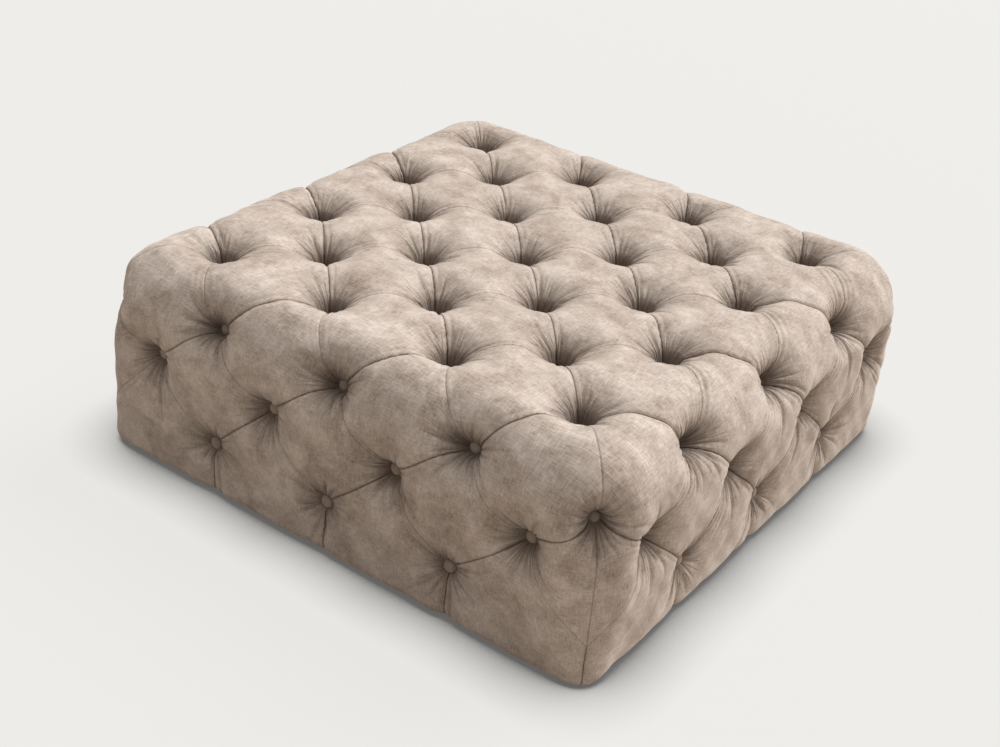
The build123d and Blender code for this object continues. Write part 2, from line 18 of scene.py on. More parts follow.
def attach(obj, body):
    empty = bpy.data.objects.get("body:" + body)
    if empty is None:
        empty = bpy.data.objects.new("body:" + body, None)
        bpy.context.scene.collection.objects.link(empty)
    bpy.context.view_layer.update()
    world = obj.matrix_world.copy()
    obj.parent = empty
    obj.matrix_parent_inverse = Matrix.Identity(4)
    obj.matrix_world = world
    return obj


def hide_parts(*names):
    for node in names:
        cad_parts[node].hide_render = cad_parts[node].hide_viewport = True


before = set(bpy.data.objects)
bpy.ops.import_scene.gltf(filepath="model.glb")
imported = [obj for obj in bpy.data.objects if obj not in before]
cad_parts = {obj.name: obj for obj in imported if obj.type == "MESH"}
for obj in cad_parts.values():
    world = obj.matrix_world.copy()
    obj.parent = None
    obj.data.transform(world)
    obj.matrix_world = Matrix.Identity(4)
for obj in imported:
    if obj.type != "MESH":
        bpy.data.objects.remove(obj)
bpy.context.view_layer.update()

MM = 0.001

# %% [markdown]
# ## The camera
# The photograph looks down on the front right corner. Its place was worked out from the net of
# top buttons, which is square and level, so their rows vanish where the camera says they must.
# The middle of that net is written as seen from the camera: so far right, up and ahead.

# %% Camera
view_azimuth = math.radians(33.7)
view_elevation = math.radians(29.96)
view_roll = math.radians(5.33)
net_middle = Vector((0, 0, 0.325))
net_from_camera = Vector((0.038, 0.179, 2.444))

ahead = Vector((
    -math.sin(view_azimuth) * math.cos(view_elevation),
    math.cos(view_azimuth) * math.cos(view_elevation),
    -math.sin(view_elevation),
))
level_right = ahead.cross(Vector((0, 0, 1))).normalized()
level_up = level_right.cross(ahead)
right = level_right * math.cos(view_roll) + level_up * math.sin(view_roll)
up = level_up * math.cos(view_roll) - level_right * math.sin(view_roll)

camera = bpy.data.objects.new("camera", bpy.data.cameras.new("camera"))
bpy.context.scene.collection.objects.link(camera)
camera.data.lens = 53.2
camera.data.sensor_width = 36
camera.data.clip_end = 60
camera_place = net_middle - right * net_from_camera.x - up * net_from_camera.y
camera_place -= ahead * net_from_camera.z
turn = Matrix((right, up, -ahead)).transposed()
camera.matrix_world = Matrix.Translation(camera_place) @ turn.to_4x4()
bpy.context.scene.camera = camera
print("camera at", [round(v, 3) for v in camera_place])

# %% [markdown]
# ## Shader nodes in short
# The sky, the floor, the cloth and the finishes are all made of a few kinds of shader node. Each
# helper adds one kind and gives back its output, so that a material reads like a sum.

# %% Node helpers
def feed(tree, socket, value):
    """Gives an input a number, a vector or a colour, or links another node's output to it."""
    if isinstance(value, bpy.types.NodeSocket):
        tree.links.new(value, socket)
    elif socket.type == "RGBA":
        socket.default_value = (*value, 1)
    else:
        socket.default_value = value


def new_material(name):
    """A material with its tree and its shader."""
    material = bpy.data.materials.new(name)
    material.use_nodes = True
    return material, material.node_tree, material.node_tree.nodes["Principled BSDF"]


def maths(tree, operation, first_value, second_value, clamp=False):
    """A math node; each value is a number or another node's output."""
    node = tree.nodes.new("ShaderNodeMath")
    node.operation = operation
    node.use_clamp = clamp
    feed(tree, node.inputs[0], first_value)
    feed(tree, node.inputs[1], second_value)
    return node.outputs["Value"]


def weighted_sum(tree, terms, start=0.0, clamp=False):
    """A start plus each output times its share."""
    total = start
    for value, share in terms:
        total = maths(tree, "ADD", maths(tree, "MULTIPLY", value, share), total)
    total.node.use_clamp = clamp
    return total


def spread(tree, value, low, high, kind="LINEAR"):
    """0 at low, 1 at high, and no further."""
    node = tree.nodes.new("ShaderNodeMapRange")
    node.interpolation_type = kind
    node.inputs["From Min"].default_value = low
    node.inputs["From Max"].default_value = high
    feed(tree, node.inputs["Value"], value)
    return node.outputs["Result"]


def noise(tree, vector, scale, detail, stretch=(1, 1, 1), distortion=0.0):
    """Noise from 0 to 1 at a scale, stretched along the axes."""
    mapping = tree.nodes.new("ShaderNodeMapping")
    mapping.inputs["Scale"].default_value = stretch
    feed(tree, mapping.inputs["Vector"], vector)
    texture = tree.nodes.new("ShaderNodeTexNoise")
    texture.inputs["Scale"].default_value = scale
    texture.inputs["Detail"].default_value = detail
    texture.inputs["Distortion"].default_value = distortion
    feed(tree, texture.inputs["Vector"], mapping.outputs["Vector"])
    return texture.outputs["Fac"]


def blend_colours(tree, factor, low_colour, high_colour):
    """Mixes two colours; each is a colour or another node's output."""
    mix = tree.nodes.new("ShaderNodeMix")
    mix.data_type = "RGBA"
    feed(tree, mix.inputs["Factor"], factor)
    feed(tree, mix.inputs["A"], low_colour)
    feed(tree, mix.inputs["B"], high_colour)
    return mix.outputs["Result"]


def relief(tree, height, strength, depth):
    """A bump node that turns an output into a fine relief of a depth in metres."""
    node = tree.nodes.new("ShaderNodeBump")
    node.inputs["Strength"].default_value = strength
    node.inputs["Distance"].default_value = depth
    feed(tree, node.inputs["Height"], height)
    return node


def plainly_seen(tree):
    """1 for a ray from the eye, or from a shiny or clear thing that shows what it sees, else 0."""
    rays = tree.nodes.new("ShaderNodeLightPath")
    seen = rays.outputs["Is Camera Ray"]
    for kind in ("Is Glossy Ray", "Is Transmission Ray"):
        seen = maths(tree, "MAXIMUM", seen, rays.outputs[kind])
    return seen


# %% [markdown]
# ## Light
# A soft studio: a warm sky all round that is brighter overhead, and one very wide sun from above
# and behind the right side. The top is then the brightest, the right side is in between and the
# front is in soft shade. Where the sky itself is seen it is the plain pale tone of the studio.

# %% World and lamps
low_sky = (0.385, 0.325, 0.275)
high_sky = (0.50, 0.497, 0.49)
high_sky_from = 0.9
seen_sky = (0.853, 0.845, 0.813)
sun_azimuth = math.radians(162)
sun_elevation = math.radians(45)
sun_width = math.radians(36)
sun_strength = 3.2
world = bpy.data.worlds.new("studio")
bpy.context.scene.world = world
world.use_nodes = True
sky = world.node_tree
sky.nodes.clear()
sky_place = sky.nodes.new("ShaderNodeTexCoord")
sky_split = sky.nodes.new("ShaderNodeSeparateXYZ")
sky_ramp = sky.nodes.new("ShaderNodeValToRGB")
sky_low, sky_high = sky_ramp.color_ramp.elements
sky_low.color = (*low_sky, 1)
sky_high.color = (*high_sky, 1)
sky_high.position = high_sky_from
feed(sky, sky_split.inputs["Vector"], sky_place.outputs["Generated"])
feed(sky, sky_ramp.inputs["Fac"], sky_split.outputs["Z"])
sky_choice = sky.nodes.new("ShaderNodeMixShader")
feed(sky, sky_choice.inputs["Fac"], plainly_seen(sky))
for slot, colour in ((1, sky_ramp.outputs["Color"]), (2, seen_sky)):
    background = sky.nodes.new("ShaderNodeBackground")
    feed(sky, background.inputs["Color"], colour)
    feed(sky, sky_choice.inputs[slot], background.outputs["Background"])
sky_out = sky.nodes.new("ShaderNodeOutputWorld")
feed(sky, sky_out.inputs["Surface"], sky_choice.outputs["Shader"])

lamp = bpy.data.lights.new("window", "SUN")
lamp.energy = sun_strength
lamp.angle = sun_width
window = bpy.data.objects.new("window", lamp)
bpy.context.scene.collection.objects.link(window)
from_window = Vector((
    math.sin(sun_azimuth) * math.cos(sun_elevation),
    -math.cos(sun_azimuth) * math.cos(sun_elevation),
    math.sin(sun_elevation),
))
window.rotation_mode = "QUATERNION"
window.rotation_quaternion = from_window.to_track_quat("Z", "Y")

# %% [markdown]
# ## The floor
# A sheet far wider than the picture. To the eye it is an even pale tone that darkens only close
# to the ottoman, where the body covers it. To the light it is a warm mid grey, which sends a
# little of the sun back up to the sides.

# %% Floor
floor_tone = (0.782, 0.774, 0.750)
floor_bounce = (0.42, 0.37, 0.32)
floor_seen_colour = (0.05, 0.05, 0.05)
shadow_reach = 0.105
shadow_full = 0.46
shadow_softness = 0.55
shadow_least = 0.15
bpy.ops.mesh.primitive_plane_add(size=30, location=(0, 0, 0))
floor = bpy.context.object
floor.name = "floor"
floor_paint, paint, floor_shader = new_material("floor_paint")
floor_shader.inputs["Roughness"].default_value = 0.9
floor_shader.inputs["Specular IOR Level"].default_value = 0.1
floor_shader.inputs["Emission Color"].default_value = (*floor_tone, 1)
seen = plainly_seen(paint)
floor_colour = blend_colours(paint, seen, floor_bounce, floor_seen_colour)
feed(paint, floor_shader.inputs["Base Color"], floor_colour)
openness = paint.nodes.new("ShaderNodeAmbientOcclusion")
openness.inputs["Distance"].default_value = shadow_reach
lit = spread(paint, openness.outputs["AO"], shadow_full, 1.0)
lit = maths(paint, "POWER", lit, shadow_softness)
lit = weighted_sum(paint, [(lit, 1 - shadow_least)], shadow_least)
feed(paint, floor_shader.inputs["Emission Strength"], maths(paint, "MULTIPLY", seen, lit))
floor.data.materials.append(floor_paint)

# %% [markdown]
# ## The smooth skin
# Before it is buttoned down, the stuffed box is a plain crowned block: flat on top, with one
# generous radius over the shoulders and down the corners, drawn in a little towards the foot.
# The cover is worked out as that skin, pushed in. These are the same measures as in the CAD.

# %% Measures of the skin
half_width = 500.0
crown_height = 360.0
underside_height = 10.0
widest_height = 200.0
shoulder_radius = 110.0
foot_corner_radius = 45.0
foot_draw_in = 16.0
hem_radius = 10.0


def skin_size(height):
    """Half width and corner radius of the smooth skin at each height."""
    low_share = np.clip((widest_height - height) / (widest_height - underside_height), 0, 1)
    half = half_width - foot_draw_in * low_share
    radius = shoulder_radius + (foot_corner_radius - shoulder_radius) * low_share
    return half, radius


def skin_gap(points):
    """Distance from each point to the smooth skin, negative inside, and the way out."""
    half, radius = skin_size(points[:, 2])
    over = np.stack([
        np.abs(points[:, 0]) - (half - radius),
        np.abs(points[:, 1]) - (half - radius),
        points[:, 2] - (crown_height - shoulder_radius),
    ], axis=1)
    outside = np.maximum(over, 0)
    length = np.linalg.norm(outside, axis=1)
    way_out = outside / np.maximum(length, 1e-6)[:, None]
    way_out[:, 0] *= np.where(points[:, 0] < 0, -1, 1)
    way_out[:, 1] *= np.where(points[:, 1] < 0, -1, 1)
    return length - radius, way_out


def on_skin(points):
    """The nearest place on the skin to each point."""
    for step in range(3):
        gap, way_out = skin_gap(points)
        points = points - way_out * gap[:, None]
    return points


# %% [markdown]
# ## The net of buttons
# Tufting is set out on a net of half pitches: a button wherever the two counts add up to an even
# number, and the crown of a pillow wherever they add up to an odd one. Count -4 to 4 both ways on
# the top, where 4 is the row just under the shoulder. Each side then carries on the count
# downwards: 4 is its first row, 5 the second, 6 the third and 7 the hem. So the whole cover is a
# box whose corners are the corner buttons, and every pleat is a diagonal of that box's squares.

# %% Places of the net
top_step = 115.0
row_1_steps = (0.0, 120.0, 240.0, 354.0)
row_1_out = 485.2
row_1_height = 305.0
row_1_end_height = 290.0
row_2_steps = (0.0, 119.5, 239.0, 358.5)
row_2_height = 201.0
row_3_steps = (0.0, 117.0, 234.0, 346.0)
row_3_height = 93.0
hem_steps = (0.0, 116.0, 234.0, 344.0)
corner_button_height = 269.0
corner_crown_height = 188.0
corner_seam_height = 76.0
shoulder_guide = 40.0


def corner_place(height):
    """The place on the upright corner edge at a height, half way round."""
    half, radius = skin_size(height)
    reach = half - radius * (1 - math.sqrt(0.5))
    return reach, reach, height


def side_line(steps, out, height, corner_height):
    """One level of a side, as distances out, along and up, from its middle to the corner."""
    return [(out, step, height) for step in steps] + [corner_place(corner_height)]


side_net = np.array([
    side_line(row_1_steps, row_1_out, row_1_height, corner_button_height),
    side_line(row_2_steps, half_width, row_2_height, corner_crown_height),
    side_line(row_3_steps, half_width, row_3_height, corner_seam_height),
    side_line(hem_steps, half_width, underside_height, underside_height),
])
side_net = on_skin(side_net.reshape(-1, 3)).reshape(4, 5, 3)
side_net[0, 3, 2] = row_1_end_height

top_net = np.full((5, 5, 3), crown_height)
top_net[:4, :4, 0] = (np.arange(4) * top_step)[:, None]
top_net[:4, :4, 1] = np.arange(4) * top_step
top_net[:, 4] = side_net[0][:, [1, 0, 2]]
top_net[4] = side_net[0]


def between(net, rows, columns):
    """Straight-line blend of a net's places at fractional rows and columns."""
    i = np.minimum(rows.astype(int), net.shape[0] - 2)
    j = np.minimum(columns.astype(int), net.shape[1] - 2)
    f = (rows - i)[:, None]
    g = (columns - j)[:, None]
    near = net[i, j] * (1 - g) + net[i, j + 1] * g
    far = net[i + 1, j] * (1 - g) + net[i + 1, j + 1] * g
    return near * (1 - f) + far * f


def top_place(a, b):
    """Places on the skin for counts on the top."""
    count_a, count_b = np.abs(a), np.abs(b)
    points = between(top_net, count_a, count_b)
    f = np.clip(count_a - 3, 0, 1)
    g = np.clip(count_b - 3, 0, 1)
    bulge_a = 2 * f * (1 - f) * (1 - g) * shoulder_guide
    bulge_b = 2 * g * (1 - g) * (1 - f) * shoulder_guide
    points += np.stack([bulge_a, bulge_b, bulge_a + bulge_b], axis=1)
    points[:, 0] *= np.where(a < 0, -1, 1)
    points[:, 1] *= np.where(b < 0, -1, 1)
    return on_skin(points)


def side_place(side, a, b):
    """Places on the skin for counts on a side: 1 right, 2 left, 3 back, 4 front."""
    points = between(side_net, a - 4, np.abs(b))
    out, along, height = points.T
    along = along * np.where(b < 0, -1, 1)
    out = out * np.where((side == 2) | (side == 4), -1, 1)
    turned_over = side > 2
    x = np.where(turned_over, along, out)
    y = np.where(turned_over, out, along)
    return on_skin(np.stack([x, y, height], axis=1))


def place(side, a, b):
    """Places on the skin for counts on any side, 0 being the top."""
    points = np.zeros((len(a), 3))
    top = side == 0
    points[top] = top_place(a[top], b[top])
    points[~top] = side_place(side[~top], a[~top], b[~top])
    return points


# %% [markdown]
# ## The cover's mesh
# The cover starts as a cube cut into the squares of the net, so that its own coordinates are the
# counts. A simple subdivision makes them fine without rounding anything. Each point is then sent
# to its place on the skin. The pleats lie along lines of points, so they come out crisp.

# %% Cut the cube into the net
cuts_per_step = 3
fine_levels = 4


def select_only(piece):
    """Nothing else is selected, and this piece is the active one."""
    bpy.ops.object.select_all(action="DESELECT")
    piece.select_set(True)
    bpy.context.view_layer.objects.active = piece


def select_edges_along(piece, axis):
    """In edit mode, only the edges that run along one axis."""
    bpy.ops.mesh.select_all(action="DESELECT")
    bpy.ops.mesh.select_mode(type="EDGE")
    shape = bmesh.from_edit_mesh(piece.data)
    for edge in shape.edges:
        run = edge.verts[1].co - edge.verts[0].co
        edge.select_set(abs(run[axis]) > 0.9 * run.length)
    bmesh.update_edit_mesh(piece.data)


bpy.ops.object.select_all(action="DESELECT")
bpy.ops.mesh.primitive_cube_add(size=1, location=(0, 0, 1.5), scale=(8, 8, 3))
cover = bpy.context.object
cover.name = "cover_cloth"
bpy.ops.object.transform_apply(location=True, rotation=True, scale=True)
bpy.ops.object.mode_set(mode="EDIT")
shape = bmesh.from_edit_mesh(cover.data)
underneath = [face for face in shape.faces if face.normal.z < -0.5]
bmesh.ops.delete(shape, geom=underneath, context="FACES")
bmesh.update_edit_mesh(cover.data)
for axis, steps in enumerate((8, 8, 3)):
    select_edges_along(cover, axis)
    bpy.ops.mesh.subdivide(number_cuts=steps * cuts_per_step - 1)
bpy.ops.object.mode_set(mode="OBJECT")
finer = cover.modifiers.new("finer", "SUBSURF")
finer.subdivision_type = "SIMPLE"
finer.levels = fine_levels
select_only(cover)
bpy.ops.object.modifier_apply(modifier="finer")
print("cover squares", len(cover.data.polygons))

# %% Sides and counts of every point
def read_all(items, name="co"):
    """One vector of each item, such as each point's place, as an array."""
    flat = np.empty(len(items) * 3, dtype=np.float32)
    items.foreach_get(name, flat)
    return flat.reshape(-1, 3).astype(float)


def write_points(mesh, points):
    """Puts an array back as a mesh's points."""
    mesh.vertices.foreach_set("co", points.astype(np.float32).ravel())
    mesh.update()


def side_of(cube_points):
    """Which side of the cube each point is on: 0 top, 1 right, 2 left, 3 back, 4 front."""
    x, y, z = cube_points.T
    tests = [z > 2.9999, x > 3.9999, x < -3.9999, y > 3.9999, y < -3.9999]
    return np.select(tests, [0, 1, 2, 3, 4], default=0)


cube = np.round(read_all(cover.data.vertices), 5)
side = side_of(cube)
x, y, z = cube.T
a = np.where(side == 0, x, 7 - z)
b = np.where(side == 0, y, np.where(side < 3, y, x))

# %% [markdown]
# ## Triangles that follow the pleats
# A fold that crosses its triangles looks like a saw. Each square is therefore cut in two along its
# own cell's pleat. The cube is first bent into steep ramps that are level along every pleat. The
# shortest diagonal of each square is then the one that runs with the pleat, and Blender's
# triangulate picks it. The ramps are gone again when the points get their real places.

# %% Cut the squares along the pleats
def to_even(count):
    """Distance from a count to the nearest even number."""
    return np.abs((count + 1) % 2 - 1)


ramp = 4.0 * (to_even(a) - to_even(b))
ways_out = np.array([(0, 0, 1), (1, 0, 0), (-1, 0, 0), (0, 1, 0), (0, -1, 0)])
write_points(cover.data, cube + ways_out[side] * ramp[:, None])
select_only(cover)
bpy.ops.object.mode_set(mode="EDIT")
bpy.ops.mesh.select_all(action="SELECT")
bpy.ops.mesh.quads_convert_to_tris(quad_method="SHORTEST_DIAGONAL")
bpy.ops.object.mode_set(mode="OBJECT")
print("cover triangles", len(cover.data.polygons))

# %% Lay out the cloth on a UV map
corners = np.empty(len(cover.data.loops), dtype=np.int32)
cover.data.loops.foreach_get("vertex_index", corners)
face_side = np.repeat(side_of(cube[corners].reshape(-1, 3, 3).mean(axis=1)), 3)
x, y, z = cube[corners].T
down = 7 - z
cloth_u = np.select([face_side == 1, face_side == 2], [down, -down], default=x)
cloth_v = np.select([face_side == 3, face_side == 4], [down, -down], default=y)
cloth_places = np.stack([cloth_u, cloth_v], axis=1) * (top_step * MM)
weave_map = cover.data.uv_layers.new(name="weave")
weave_map.data.foreach_set("uv", cloth_places.ravel())

# %% [markdown]
# ## Cells
# Each square of the net has a button at two opposite corners. The square is turned so that they
# are at its (0, 0) and (1, 1), which makes one set of sums serve every square.

# %% Cells of the net
def cell_of(side, a, b):
    """For each point: its cell's two button corners, and its place in the cell."""
    i = np.clip(np.floor(a), np.where(side == 0, -4, 4), np.where(side == 0, 3, 6))
    j = np.clip(np.floor(b), -4, 3)
    u, v = a - i, b - j
    odd = (i + j) % 2 == 1
    u = np.where(odd, 1 - u, u)
    lean = np.where(odd, -1, 1)
    first = np.stack([i + odd, j], axis=1)
    second = np.stack([i + 1 - odd, j + 1], axis=1)
    return first, second, u, v, lean


def is_button(side, node):
    """1 for a real button and 0 for the hem's net places and the sewn corner's."""
    low = (side > 0) & ((node[:, 0] > 6.5) | ((node[:, 0] > 5.5) & (np.abs(node[:, 1]) > 3.5)))
    return np.where(low, 0.0, 1.0)


def ease(low, high, value):
    """0 below low, 1 above high, smooth between."""
    t = np.clip((value - low) / (high - low), 0, 1)
    return t * t * (3 - 2 * t)


# %% Rings round the buttons
# All are shares of a step: the size of a ring, where it is full, where it has faded back into
# the squares, and how far off the ways out from a button are felt for.
ring_draw = 0.72
ring_full = 0.14
ring_fade = 0.46
ring_feeler = 0.2


def ring_places(side, a, b):
    """Places on the skin, with the net's lines drawn into rings round every button."""
    points = place(side, a, b)
    first, second, u, v, lean = cell_of(side, a, b)
    for node, near_u, near_v, sense in ((first, u, v, 1), (second, 1 - u, 1 - v, -1)):
        reach = np.maximum(near_u, near_v)
        weight = (1 - ease(ring_full, ring_fade, reach)) * is_button(side, node)
        todo = (weight > 0) & (reach > 1e-6)
        s, at_a, at_b = side[todo], node[todo, 0], node[todo, 1]
        middle = place(s, at_a, at_b)
        nudge = ring_feeler * sense
        way_u = place(s, at_a + nudge * lean[todo], at_b) - middle
        way_v = place(s, at_a, at_b + nudge) - middle
        way_u /= np.linalg.norm(way_u, axis=1)[:, None]
        way_v /= np.linalg.norm(way_v, axis=1)[:, None]
        nu, nv, k = near_u[todo], near_v[todo], reach[todo]
        angle = np.where(nu > nv, nv / k, 2 - nu / k) * math.pi / 4
        spoke = way_u * np.cos(angle)[:, None] + way_v * np.sin(angle)[:, None]
        spoke /= np.linalg.norm(spoke, axis=1)[:, None]
        ring = middle + spoke * (k * top_step * ring_draw)[:, None]
        w = weight[todo][:, None]
        points[todo] = ring * w + points[todo] * (1 - w)
    return on_skin(points)


skin_points = ring_places(side, a, b)
print("skin box", skin_points.min(0).round(1), skin_points.max(0).round(1))

# %% [markdown]
# ## Buttons' seats
# Each button sits on the cloth at the bottom of its funnel. The seats are those of the CAD: on
# the top they face straight up, in row 1 they look up a little, and below that straight out.

# %% Seats of the buttons
top_seat_depth = 55.0
row_1_seat = (62.0, 283.0, 25.0)
row_2_seat = (42.0, 201.0, 0.0)
row_3_seat = (30.0, 93.0, 0.0)
corner_seat = (68.0, 256.0, 15.0)


def side_seat(row, along, way, turn):
    """A button's seat, axis and depth under the skin, for a quarter turn of the right side."""
    inward, height, tilt = row
    tilt = math.radians(tilt)
    seat = Vector((half_width - inward, along, height))
    axis = Vector((way[0] * math.cos(tilt), way[1] * math.cos(tilt), math.sin(tilt)))
    depth = 0.0
    for step in range(60):
        depth -= skin_gap(np.array([np.array(seat) + np.array(axis) * depth]))[0][0]
    spin = Matrix.Rotation(turn * math.pi / 2, 3, "Z")
    return spin @ seat, spin @ axis, depth


seats = {"top": [], "corner": []}
for count_a in range(-3, 4):
    for count_b in range(-3, 4):
        if (count_a + count_b) % 2 == 0:
            seat = Vector((count_a * top_step, count_b * top_step, crown_height - top_seat_depth))
            seats["top"].append((seat, Vector((0, 0, 1)), top_seat_depth))
rows = [(row_1_seat, row_1_steps[k]) for k in (0, 2)]
rows += [(row_2_seat, row_2_steps[k]) for k in (1, 3)]
rows += [(row_3_seat, row_3_steps[k]) for k in (0, 2)]
half_way_round = (math.sqrt(0.5), math.sqrt(0.5))
for turn, group in enumerate(("right", "back", "left", "front")):
    seats[group] = []
    for row, step in rows:
        for along in sorted({step, -step}):
            seats[group].append(side_seat(row, along, (1, 0), turn))
    corner_along = half_width - corner_seat[0]
    seats["corner"].append(side_seat(corner_seat, corner_along, half_way_round, turn))
print("buttons", {group: len(found) for group, found in seats.items()})
print("depths", {group: round(float(found[0][2]), 1) for group, found in seats.items()})

# %% [markdown]
# ## Funnels and pleats
# Two things push the cloth in. Round a button it is a funnel: a steep throat with a crisp lip, and
# a wide dip round that. Between two buttons it is a pleat, a shallow valley with a fold in it.
# What is left standing between four pleats is the pillow.

# %% Each point's two buttons
no_button_away = 400.0


def seat_depth(side, node):
    """How far under the skin the seat of each button lies."""
    level = np.maximum(np.abs(node[:, 0]), np.where(side == 0, np.abs(node[:, 1]), 0))
    corner = (level < 4.5) & (level > 3.5) & (np.abs(node).min(axis=1) > 3.5)
    corner_depth = seats["corner"][0][2]
    row_1_depth, row_2_depth, row_3_depth = (seats["right"][k][2] for k in (0, 3, -1))
    kinds = [corner, level < 3.5, level < 4.5, level < 5.5, level < 6.5]
    depths = [corner_depth, top_seat_depth, row_1_depth, row_2_depth, row_3_depth]
    return np.select(kinds, depths, default=0.0) * is_button(side, node)


def button_at(node):
    """For each point, one button of its cell: its count, its place, how far away and how deep."""
    middle = place(side, node[:, 0], node[:, 1])
    away = np.linalg.norm(skin_points - middle, axis=1)
    depth = seat_depth(side, node)
    return node, middle, np.where(depth > 0, away, no_button_away), depth


first, second, u, v, lean = cell_of(side, a, b)
ends = (button_at(first), button_at(second))
first_depth, second_depth = ends[0][3], ends[1][3]
button_away = np.minimum(ends[0][2], ends[1][2])

# %% Distance from the pleat
def off_the_pleat():
    """Signed distance of each point from the pleat in its cell, and its place along it."""
    aside = (u - v) / math.sqrt(2) * top_step
    for near_u, near_v, sense, depth in ((u, v, 1, first_depth), (1 - u, 1 - v, -1, second_depth)):
        reach = np.maximum(near_u, near_v)
        k = np.maximum(reach, 1e-6)
        angle = np.where(near_u > near_v, near_v / k, 2 - near_u / k) * math.pi / 4
        ring_aside = -sense * k * top_step * ring_draw * np.sin(angle - math.pi / 4)
        weight = (1 - ease(ring_full, ring_fade, reach)) * (depth > 0)
        aside = aside * (1 - weight) + ring_aside * weight
    return aside, (u + v) / 2


aside, along_pleat = off_the_pleat()
hanging = (side > 0) & (a > 6)
aside = np.where(hanging, ((b + 1) % 2 - 1) * row_3_steps[1], aside)
along_pleat = np.where(hanging, (a - 6) / 2, along_pleat)

# %% Kinds of pleat
# Going down from the top, the pleats that run away from the front right corner are sharp folds,
# and those that run towards it are soft bundles of wrinkles. Below the last row they hang straight
# down. Each row of the table is a kind, the depth of its valley and the strength of its fold; a
# point takes the first kind that it fits.
low_i = np.minimum(first[:, 0], second[:, 0])
low_j = np.minimum(first[:, 1], second[:, 1])
on_top = side == 0
over_right = on_top & (low_i > 2.5)
over_left = on_top & (low_i < -3.5)
over_front = on_top & (low_j < -3.5)
over_back = on_top & (low_j > 2.5)
shoulder = over_right | over_left | over_front | over_back
corner_line = (over_right | over_left) & (over_front | over_back)
sharp_when_up = over_right | over_front | (side == 1) | (side == 2)
sharp = np.where(sharp_when_up, lean > 0, lean < 0) | hanging
seam = (side > 0) & (np.abs(b) > 3) & hanging
by_the_seam = np.maximum(np.abs(low_j), np.abs(low_j + 1)) > 3.5
to_seam = (side > 0) & (low_i > 4.5) & by_the_seam & ~hanging
kinds_of_pleat = (
    (corner_line, 0.6, 0.45),
    (to_seam, 0.0, 0.4),
    (seam, 0.0, 0.9),
    (hanging, 3.0, 1.0),
    (shoulder & sharp, 5.0, 1.25),
    (shoulder, 1.5, 0.4),
    (on_top & sharp, 3.0, 0.75),
    (on_top, 1.5, 0.3),
    (sharp, 3.0, 1.0),
)
pleat_kinds, valley_depths, fold_shares = [list(column) for column in zip(*kinds_of_pleat)]

# %% Depth of the tufting
# The throat's share and the dip's power have a number for the top and one for the sides, and the
# dip's reach has one for the corner buttons and one for all the others. A start is a pair of
# distances from the button, where a thing begins and where it is full. The hem's is in counts.
seat_radius = 11.5
throat_reach = 23.0
throat_power = 1.25
throat_share = (0.36, 0.22)
dip_reach = (76.0, 100.0)
dip_power = (2.5, 3.0)
valley_reach = 26.0
valley_taper = 0.62
hem_valley = 3.0
hem_valley_start = (6.2, 7.0)
valley_start = (12, 46)


def funnel(away, depth, node):
    """Depth of a button's funnel at a distance from it."""
    flat = np.maximum(np.abs(node[:, 0]), np.abs(node[:, 1])) < 3.5
    corner = np.minimum(np.abs(node[:, 0]), np.abs(node[:, 1])) > 3.5
    share = np.where(flat, *throat_share)
    reach = np.where(corner, *dip_reach)
    throat = np.clip(1 - (away - seat_radius) / (throat_reach - seat_radius), 0, 1)
    dip = np.clip(1 - (away - seat_radius) / (reach - seat_radius), 0, 1)
    power = np.where(flat, *dip_power)
    return depth * (share * throat**throat_power + (1 - share) * dip**power)


pull = sum(funnel(away, depth, node) for node, middle, away, depth in ends)
valley_width = np.minimum(valley_reach, valley_taper * button_away)
valley_depth = np.select(pleat_kinds, valley_depths, default=3.0)
valley_depth = valley_depth + np.where(hanging & ~seam, hem_valley * ease(*hem_valley_start, a), 0)
valley = valley_depth * np.clip(1 - np.abs(aside) / np.maximum(valley_width, 1e-3), 0, 1) ** 2
valley *= ease(*valley_start, button_away)
drop = np.minimum(pull, np.maximum(first_depth, second_depth)) + valley

outward = skin_gap(skin_points)[1]
points = skin_points - outward * drop[:, None]
write_points(cover.data, points * MM)
print("deepest", drop.max().round(1))

# %% [markdown]
# ## Folds, gathers and wrinkles
# The cloth is wider than the box, and the spare width goes somewhere. In a sharp pleat one side is
# folded over the other and ends in a small round lip. In a soft one it lies in a few wrinkles that
# run from button to button. Round each button it is gathered in creases that fan out and fade.
# All of these are pushed in square to the tufted surface, so they show on the funnels' walls too.

# %% Numbers from a place
def hashed(*values):
    """An even random number from 0 to 1 for each set of whole numbers, the same on every run."""
    mixed = np.zeros(np.broadcast(*values).shape)
    for k, value in enumerate(values):
        mixed = mixed + np.asarray(value, float) * (12.9898 + 65.233 * k)
    return np.abs(np.sin(mixed + 0.37) * 43758.5453) % 1.0


# %% Folds along the sharp pleats
fold_groove = 1.6
fold_groove_width = 1.8
lip_radius = 4.5
lip_depth = 3.0
seam_groove = 0.9
seam_line_share = 0.45
seam_width = 2.2
corner_step = 112.0
no_seam_away = 99.0
fold_start = (11, 17)
over_sign = np.where(lean > 0, -1, 1) * np.where(over_front | over_back, -1, 1)
over_sign = np.where(on_top & ~shoulder, 1, over_sign)
over = aside * over_sign > 0
off = np.abs(aside)
roll = np.clip(1 - off / lip_radius, 0, 1)
lip = lip_depth * (1 - np.sqrt(np.clip(1 - roll * roll, 0, 1)))
groove = fold_groove * np.exp(-off / fold_groove_width)
fold_share = np.select(pleat_kinds, fold_shares, default=0.5)
near_fade = ease(*fold_start, button_away)
plain_groove = np.where(corner_line | to_seam | seam, 0.0, 1.0)
detail = -(groove + np.where(over, lip, 0) * plain_groove) * fold_share * near_fade
from_corner = np.where(side > 0, (4 - np.abs(b)) * corner_step, no_seam_away)
